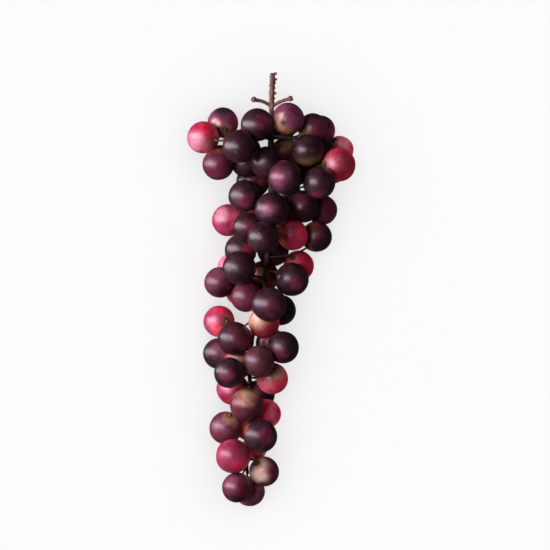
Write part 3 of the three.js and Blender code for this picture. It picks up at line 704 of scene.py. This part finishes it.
def bark_material():
    """The dry bark of the stem: dark reddish brown, ridged along and flecked.

    Where the stem runs hidden among the berries it is near-black brown, which is painted shade.
    """
    material, shader = new_material("stem_bark")
    where = shader.node("TexCoord", {}, {}, output="Object")
    scaled = shader.node("Mapping", {}, {"Vector": where, "Scale": (1000.0, 1000.0, 1000.0)})
    along = shader.node("Mapping", {}, {"Vector": where, "Scale": (1400.0, 180.0, 1400.0)})
    patches = shader.noise(scaled, 3.5, detail=3.0)
    flecks = shader.noise(scaled, 0.45, detail=2.0, roughness=0.6)
    ridges = shader.noise(along, 1.0, detail=3.0, roughness=0.6)
    bare = shader.attribute("bare")
    collar = (shader.attribute("collar") + (patches - 0.5) * 0.8).smooth(0.3, 1.0)
    fresh = shader.mix(patches.smooth(0.35, 0.7), colour("#6c3c3a"), colour("#4a2826"))
    fresh = shader.mix(ridges.smooth(0.5, 0.75) * 0.6, fresh, colour("#b48c88"))
    # The stalks hidden among the berries are near-black brown: painted shade.
    inner_painted_shade = shader.mix(patches.smooth(0.35, 0.7), colour("#3c2018"), colour("#22110e"))
    inner_painted_shade = shader.mix(collar * 0.6, inner_painted_shade, colour("#74502f"))
    base = shader.mix(bare, inner_painted_shade, fresh)
    base = shader.mix(flecks.smooth(0.58, 0.75) * 0.5, base, colour("#2a100e"))
    height = ridges * 0.7 + flecks * 0.4
    relief = shader.node("Bump", {}, {"Strength": 0.8, "Distance": 0.35 * MM, "Height": height})
    values = {"Base Color": base, "Roughness": flecks * 0.2 + 0.6, "Normal": relief}
    surface = shader.node("BsdfPrincipled", {}, values)
    shader.node("OutputMaterial", {}, {"Surface": surface})
    return material


def turn_to(direction):
    """Three axes at right angles, with the last one along a direction."""
    z = np.array(direction, float) / np.linalg.norm(direction)
    side = np.array([0.0, 0.0, 1.0]) if abs(z[2]) < 0.9 else np.array([1.0, 0.0, 0.0])
    x = np.cross(side, z)
    x /= np.linalg.norm(x)
    return np.array([x, np.cross(z, x), z])


def ball_directions():
    """Directions and faces of a ball with one end at its stalk and the other at its scar."""
    angles = list(RINGS)
    while angles[-1] + RING_STEP < math.pi - RINGS[-1]:
        angles.append(angles[-1] + RING_STEP)
    angles += [math.pi - angle for angle in reversed(RINGS)]
    turns = [2 * math.pi * k / BERRY_SIDES for k in range(BERRY_SIDES)]
    points = [(0, 0, 1)]
    for angle in angles:
        for turn in turns:
            flat = math.sin(angle)
            points.append((flat * math.cos(turn), flat * math.sin(turn), math.cos(angle)))
    points.append((0, 0, -1))
    faces = []
    last = len(points) - 1
    for k in range(BERRY_SIDES):
        after = (k + 1) % BERRY_SIDES
        faces.append((0, 1 + k, 1 + after))
        for ring in range(len(angles) - 1):
            row = 1 + ring * BERRY_SIDES
            faces.append((row + k, row + BERRY_SIDES + k, row + BERRY_SIDES + after, row + after))
        row = last - BERRY_SIDES
        faces.append((last, row + after, row + k))
    return np.array(points), faces


def stalk_directions(berries, stem):
    """The way from each berry's middle to the end of its stalk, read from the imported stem."""
    points = np.array([v.co for v in stem.data.vertices]) / MM
    found = []
    for x, y, z, radius in berries:
        away = points - np.array([x, y, z])
        inside = np.linalg.norm(away, axis=1) < radius - STALK_DEPTH
        toward = away[inside].mean(0) if inside.any() else np.array([-x, 0, STEM_HEIGHT - z])
        found.append(toward / np.linalg.norm(toward))
    return found


def draw_back(packed):
    """The berries with the visible ones at the places of the table, and the closers in theirs."""
    drawn = [list(berry) for berry in packed]
    for berry, row in zip(drawn, BERRIES):
        right, down, growth = CLOSERS.get(row[:2], (0, 0, 1))
        berry[:2] = place(row[0] + right, row[1] + down, 0)[:2]
        berry[3] *= growth
    return drawn


def follow_berries(points, packed, drawn, stalks):
    """Moves the ends of the stalks with the berries that they hold, by a few millimetres at most."""
    for before, after, out in zip(packed, drawn, stalks):
        shift = np.array(after[:3]) - np.array(before[:3])
        end = np.array(before[:3]) + out * before[3]
        share = np.exp(-((np.linalg.norm(points - end, axis=1) / STALK_GIVE) ** 2))
        points = points + share[:, None] * shift
    return points


def family(tone):
    """The family of berries that a skin's tone belongs to, which share a material."""
    if tone in DARK_TONES:
        return "dark"
    return "red" if tone in RED_TONES else "plum"


def waves(out, *sets):
    """Uneven waves over the directions of a ball, the sum of one for each way and turn."""
    return sum(np.sin(out @ np.array(way) + turn) for way, turn in sets)


class Berry:
    """One grape: where it lies, its colours, and its mesh."""

    def __init__(self, index, at, radius, stalk, looks):
        self.at, self.radius, self.stalk = np.array(at), radius, stalk
        self.skin, self.patches = looks[:2]
        self.scar_way = -stalk
        if len(looks) > 2:
            x, y = looks[2]
            self.scar_way = np.array([x, y, math.sqrt(radius**2 - x * x - y * y)]) / radius
        draw = seeded(BERRY_SEED + SEED_STEP * index)
        self.draws = [next(draw) for _ in range(DRAWS)]
        self.turns = [number * TURN for number in self.draws]

    def patch(self, out, clock, outward, size):
        """How much of a patch's colour the skin has in each direction."""
        turn = math.radians(clock * 30)
        tilt = math.asin(min(outward, 1)) + max(0, outward - 1) * PAST_RIM
        flat = math.sin(tilt)
        way = np.array([flat * math.sin(turn), flat * math.cos(turn), math.cos(tilt)])
        ragged = waves(
            out,
            ((5.1, 2.7, 3.3), clock + self.turns[9]),
            ((-3.3, 6.1, 4.7), size * 9 + self.turns[10]),
        )
        angle = np.arccos(np.clip(out @ way, -1, 1)) + PATCH_RAGGED * ragged
        share = np.clip((size * PATCH_REACH - angle) / (size * PATCH_FADE), 0, 1)
        return (share * share * (3 - 2 * share))[:, None]

    def colours(self, out):
        """The colour of its skin in each direction.

        Some of its patches are painted highlights, painted shade or painted light.
        """
        patches = []
        for k, tone in enumerate(UNDER_PATCHES[family(self.skin)]):
            outward = UNDER_OUTWARD[0] + UNDER_OUTWARD[1] * self.draws[k + 5]
            size = UNDER_SIZE[0] + UNDER_SIZE[1] * self.draws[k + 4]
            patches.append((tone, 12 * self.draws[k + 2], outward, size))
        shades = np.tile(colour(TONES[self.skin]), (len(out), 1))
        for tone, clock, outward, size in patches + self.patches:
            share = self.patch(out, clock, outward, size)
            shades = shades + share * (np.array(colour(TONES[tone])) - shades)
        return shades

    def mesh(self, directions):
        """Its points in millimetres, and what its skin shows at each of them."""
        out = directions @ turn_to(self.stalk)
        angle = np.arccos(np.clip(directions[:, 2], -1, 1))
        angles = {"stalk": angle, "scar": math.pi - angle}
        lumps = waves(
            out,
            ((3.36, 2.08, 1.12), self.turns[0]),
            ((-1.98, 4.18, 3.08), self.turns[1]),
        )
        size = self.radius * (1 + LUMPS * lumps)
        for end, ring, height, width in RELIEF:
            size = size + height * np.exp(-(((angles[end] - ring) / width) ** 2))
        points = self.at + out * size[:, None]
        points[:, 2] = np.maximum(points[:, 2], FLOOR_GAP)
        offset = np.array(self.draws[2:5]) * GRAIN_SPREAD
        return {
            "points": points,
            "skin": self.colours(out),
            "stalk_end": angle * self.radius,
            "scar": np.arccos(np.clip(out @ self.scar_way, -1, 1)) * self.radius,
            "grain": directions * self.radius + offset,
            "long_grain": directions * np.array(LONG_GRAIN) + offset,
        }


def berries_piece(name, berries, material):
    """One piece that holds the berries of a colour family."""
    directions, faces = ball_directions()
    meshes = [berry.mesh(directions) for berry in berries]
    count = len(directions)
    points = np.vstack([m["points"] for m in meshes]) * MM
    every_face = [tuple(v + k * count for v in face) for k in range(len(berries)) for face in faces]
    mesh = bpy.data.meshes.new(name)
    mesh.from_pydata(points.tolist(), [], every_face)
    for key in ("stalk_end", "scar"):
        values = np.concatenate([m[key] for m in meshes])
        mesh.attributes.new(key, "FLOAT", "POINT").data.foreach_set("value", values)
    bloom = np.repeat([BLOOM[0] + BLOOM[1] * berry.draws[5] for berry in berries], count)
    mesh.attributes.new("bloom", "FLOAT", "POINT").data.foreach_set("value", bloom)
    for key in ("grain", "long_grain"):
        values = np.vstack([m[key] for m in meshes]).ravel()
        mesh.attributes.new(key, "FLOAT_VECTOR", "POINT").data.foreach_set("vector", values)
    shades = np.vstack([m["skin"] for m in meshes]).ravel()
    mesh.attributes.new("skin", "FLOAT_COLOR", "POINT").data.foreach_set("color", shades)
    mesh.shade_smooth()
    piece = bpy.data.objects.new(name, mesh)
    bpy.context.scene.collection.objects.link(piece)
    mesh.materials.append(material)
    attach(piece, "root")
    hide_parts("berries")
    return piece


def bend(points):
    """Bends single stalks a little aside."""
    for across, along, height, reach, right, down in BENDS:
        away = np.linalg.norm(points - place(across, along, height), axis=1)
        share = np.exp(-((away / reach) ** 2))
        points = points + share[:, None] * np.array([right, -down, 0])
    return points


def add_nubs(mesh):
    """Adds the nubs of the cut end to the stem's mesh."""
    grown = bmesh.new()
    grown.from_mesh(mesh)
    for across, along, height, radius in NUBS:
        at = Matrix.Translation(Vector(place(across, along, height) * MM))
        bmesh.ops.create_icosphere(grown, subdivisions=2, radius=radius * MM, matrix=at)
    grown.to_mesh(mesh)
    grown.free()


def gnarl(mesh, berries):
    """Makes the bark uneven and notes where it is bare and where it meets a berry."""
    points = np.array([vertex.co for vertex in mesh.vertices]) / MM
    normals = np.array([vertex.normal for vertex in mesh.vertices])
    along = MIDDLE_ALONG - points[:, 1]
    bare = np.clip((BARE_END - along) / BARE_FADE, 0, 1)
    gap = np.full(len(points), float(COLLAR_REACH))
    for x, y, z, radius in berries:
        gap = np.minimum(gap, np.linalg.norm(points - (x, y, z), axis=1) - radius)
    collar = np.clip(1 - gap / COLLAR_REACH, 0, 1)
    knots = np.array([sum(noise.noise(p * fine) * high for fine, high in KNOTS) for p in points])
    points = points + normals * (knots * (HIDDEN_KNOTS + (1 - HIDDEN_KNOTS) * bare))[:, None]
    mesh.vertices.foreach_set("co", (points * MM).ravel())
    mesh.attributes.new("bare", "FLOAT", "POINT").data.foreach_set("value", bare)
    mesh.attributes.new("collar", "FLOAT", "POINT").data.foreach_set("value", collar)


def stem_piece(material, packed, drawn, stalks):
    """The stem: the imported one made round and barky, with small nubs on its bare end."""
    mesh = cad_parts["stem"].data.copy()
    mesh.name = "woody_stem"
    points = np.array([v.co for v in mesh.vertices]) / MM
    points = bend(follow_berries(points, packed, drawn, stalks)) * MM
    mesh.vertices.foreach_set("co", points.ravel())
    add_nubs(mesh)
    piece = bpy.data.objects.new("woody_stem", mesh)
    bpy.context.scene.collection.objects.link(piece)
    mesh.materials.clear()
    bpy.context.view_layer.objects.active = piece
    swell = piece.modifiers.new("swell", "REMESH")
    swell.mode = "VOXEL"
    swell.voxel_size = BARK_VOXEL * MM
    swell.use_smooth_shade = True
    even = piece.modifiers.new("even", "SMOOTH")
    even.factor = 0.5
    even.iterations = BARK_ROUNDS
    proud = piece.modifiers.new("proud", "DISPLACE")
    proud.strength = BARK_PROUD * MM
    proud.mid_level = 0.0
    for modifier in ("swell", "even", "proud"):
        bpy.ops.object.modifier_apply(modifier=modifier)
    mesh = piece.data
    gnarl(mesh, drawn)
    mesh.materials.append(material)
    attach(piece, "root")
    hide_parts("stem")
    return piece


def add_camera():
    data = bpy.data.cameras.new("camera")
    data.sensor_width = SENSOR
    data.lens = SENSOR * VIEW_DISTANCE / VIEW_WIDTH
    camera = bpy.data.objects.new("camera", data)
    camera.location = (*VIEW_MIDDLE, VIEW_DISTANCE + VIEW_LEVEL)
    bpy.context.scene.collection.objects.link(camera)
    bpy.context.scene.camera = camera


def add_light(name, kind, power, at):
    data = bpy.data.lights.new(name, kind)
    data.energy = power
    light = bpy.data.objects.new(name, data)
    light.location = at
    light.rotation_euler = (Vector(LIT_POINT) - Vector(at)).to_track_quat("-Z", "Y").to_euler()
    bpy.context.scene.collection.objects.link(light)
    return light


def add_window():
    """The one strong light: a tall soft window, low on the left of the bunch."""
    light = add_light("window", "AREA", WINDOW_POWER, WINDOW_AT)
    light.data.shape = "RECTANGLE"
    light.data.size, light.data.size_y = WINDOW_SIZE
    return light


def add_wash(name, strength):
    """Soft light from overhead on the floor alone, which keeps it evenly pale."""
    light = add_light(name, "SUN", strength, WASH_AT)
    light.data.angle = math.radians(WASH_SPREAD)
    return light


def light_only(light, objects):
    """Keeps a light to some objects."""
    lit = bpy.data.collections.new(light.name + "_lights")
    for piece in objects:
        lit.objects.link(piece)
    light.light_linking.receiver_collection = lit


def add_floor():
    mesh = bpy.data.meshes.new("floor")
    signs = [(-1, -1), (1, -1), (1, 1), (-1, 1)]
    corners = [(x * FLOOR_HALF, y * FLOOR_HALF, 0) for x, y in signs]
    mesh.from_pydata(corners, [], [(0, 1, 2, 3)])
    floor = bpy.data.objects.new("floor", mesh)
    material, shader = new_material("floor_paper")
    values = {"Base Color": colour(FLOOR_TONE), "Roughness": 0.9, "Specular IOR Level": 0.0}
    surface = shader.node("BsdfPrincipled", {}, values)
    shader.node("OutputMaterial", {}, {"Surface": surface})
    mesh.materials.append(material)
    bpy.context.scene.collection.objects.link(floor)
    floor.visible_glossy = False
    return floor


def add_world():
    world = bpy.data.worlds.new("studio")
    world.use_nodes = True
    shader = Shader(world.node_tree)
    way = shader.node("TexCoord", output="Generated")
    across = shader.node("SeparateXYZ", {}, {0: way}, output="X")
    up = shader.node("SeparateXYZ", {}, {0: way}, output="Z")
    left = across.smooth(-1.0, 0.1, 1.0, 0.0)
    shade = shader.mix(left, colour(ROOM_RIGHT), colour(ROOM_LEFT))
    shade = shader.mix(up.smooth(-0.2, 0.05), colour(ROOM_BELOW), shade)
    seen = shader.node("LightPath", output="Is Camera Ray")
    shade = shader.mix(seen, shade, colour(SEEN_ROOM))
    room = shader.node("Background", {}, {"Color": shade, "Strength": 1.0})
    shader.node("OutputWorld", {}, {"Surface": room})
    bpy.context.scene.world = world


def grow_grapes(drawn, stalks):
    """The berries with their looks, the ones of the table first."""
    grapes = []
    for index, (berry, stalk) in enumerate(zip(drawn, stalks)):
        hidden = HIDDEN_LOOKS[index % len(HIDDEN_LOOKS)]
        looks = BERRIES[index][3:] if index < len(BERRIES) else hidden
        grapes.append(Berry(index, berry[:3], berry[3], stalk, looks))
    return grapes


def lay_bunch():
    """The pieces of the bunch: the berries of each family, and the stem."""
    limbs = [Limb(rows) for rows in (AXIS, LEFT_BRANCH, RIGHT_BRANCH, LEFT_TWIG, RIGHT_TWIG)]
    balls = [ball for limb in limbs for ball in limb.balls()]
    settled = settle([row[:3] for row in BERRIES], balls)
    packed = press_together(fill(settled, balls), balls)
    stalks = stalk_directions(packed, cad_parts["stem"])
    drawn = draw_back(packed)
    grapes = grow_grapes(drawn, stalks)
    pieces = []
    for kind, settings in FAMILIES.items():
        skin = skin_material(kind + "_skin", *settings)
        mine = [berry for berry in grapes if family(berry.skin) == kind]
        pieces.append(berries_piece(kind + "_berries", mine, skin))
    pieces.append(stem_piece(bark_material(), packed, drawn, stalks))
    return pieces


add_camera()
add_world()
floor = add_floor()
window = add_window()
shaded_wash = add_wash("shaded_wash", SHADED_WASH)
even_wash = add_wash("even_wash", EVEN_WASH)
even_wash.data.use_shadow = False
bpy.context.scene.view_settings.view_transform = "Standard"

light_only(window, lay_bunch())
light_only(shaded_wash, [floor])
light_only(even_wash, [floor])

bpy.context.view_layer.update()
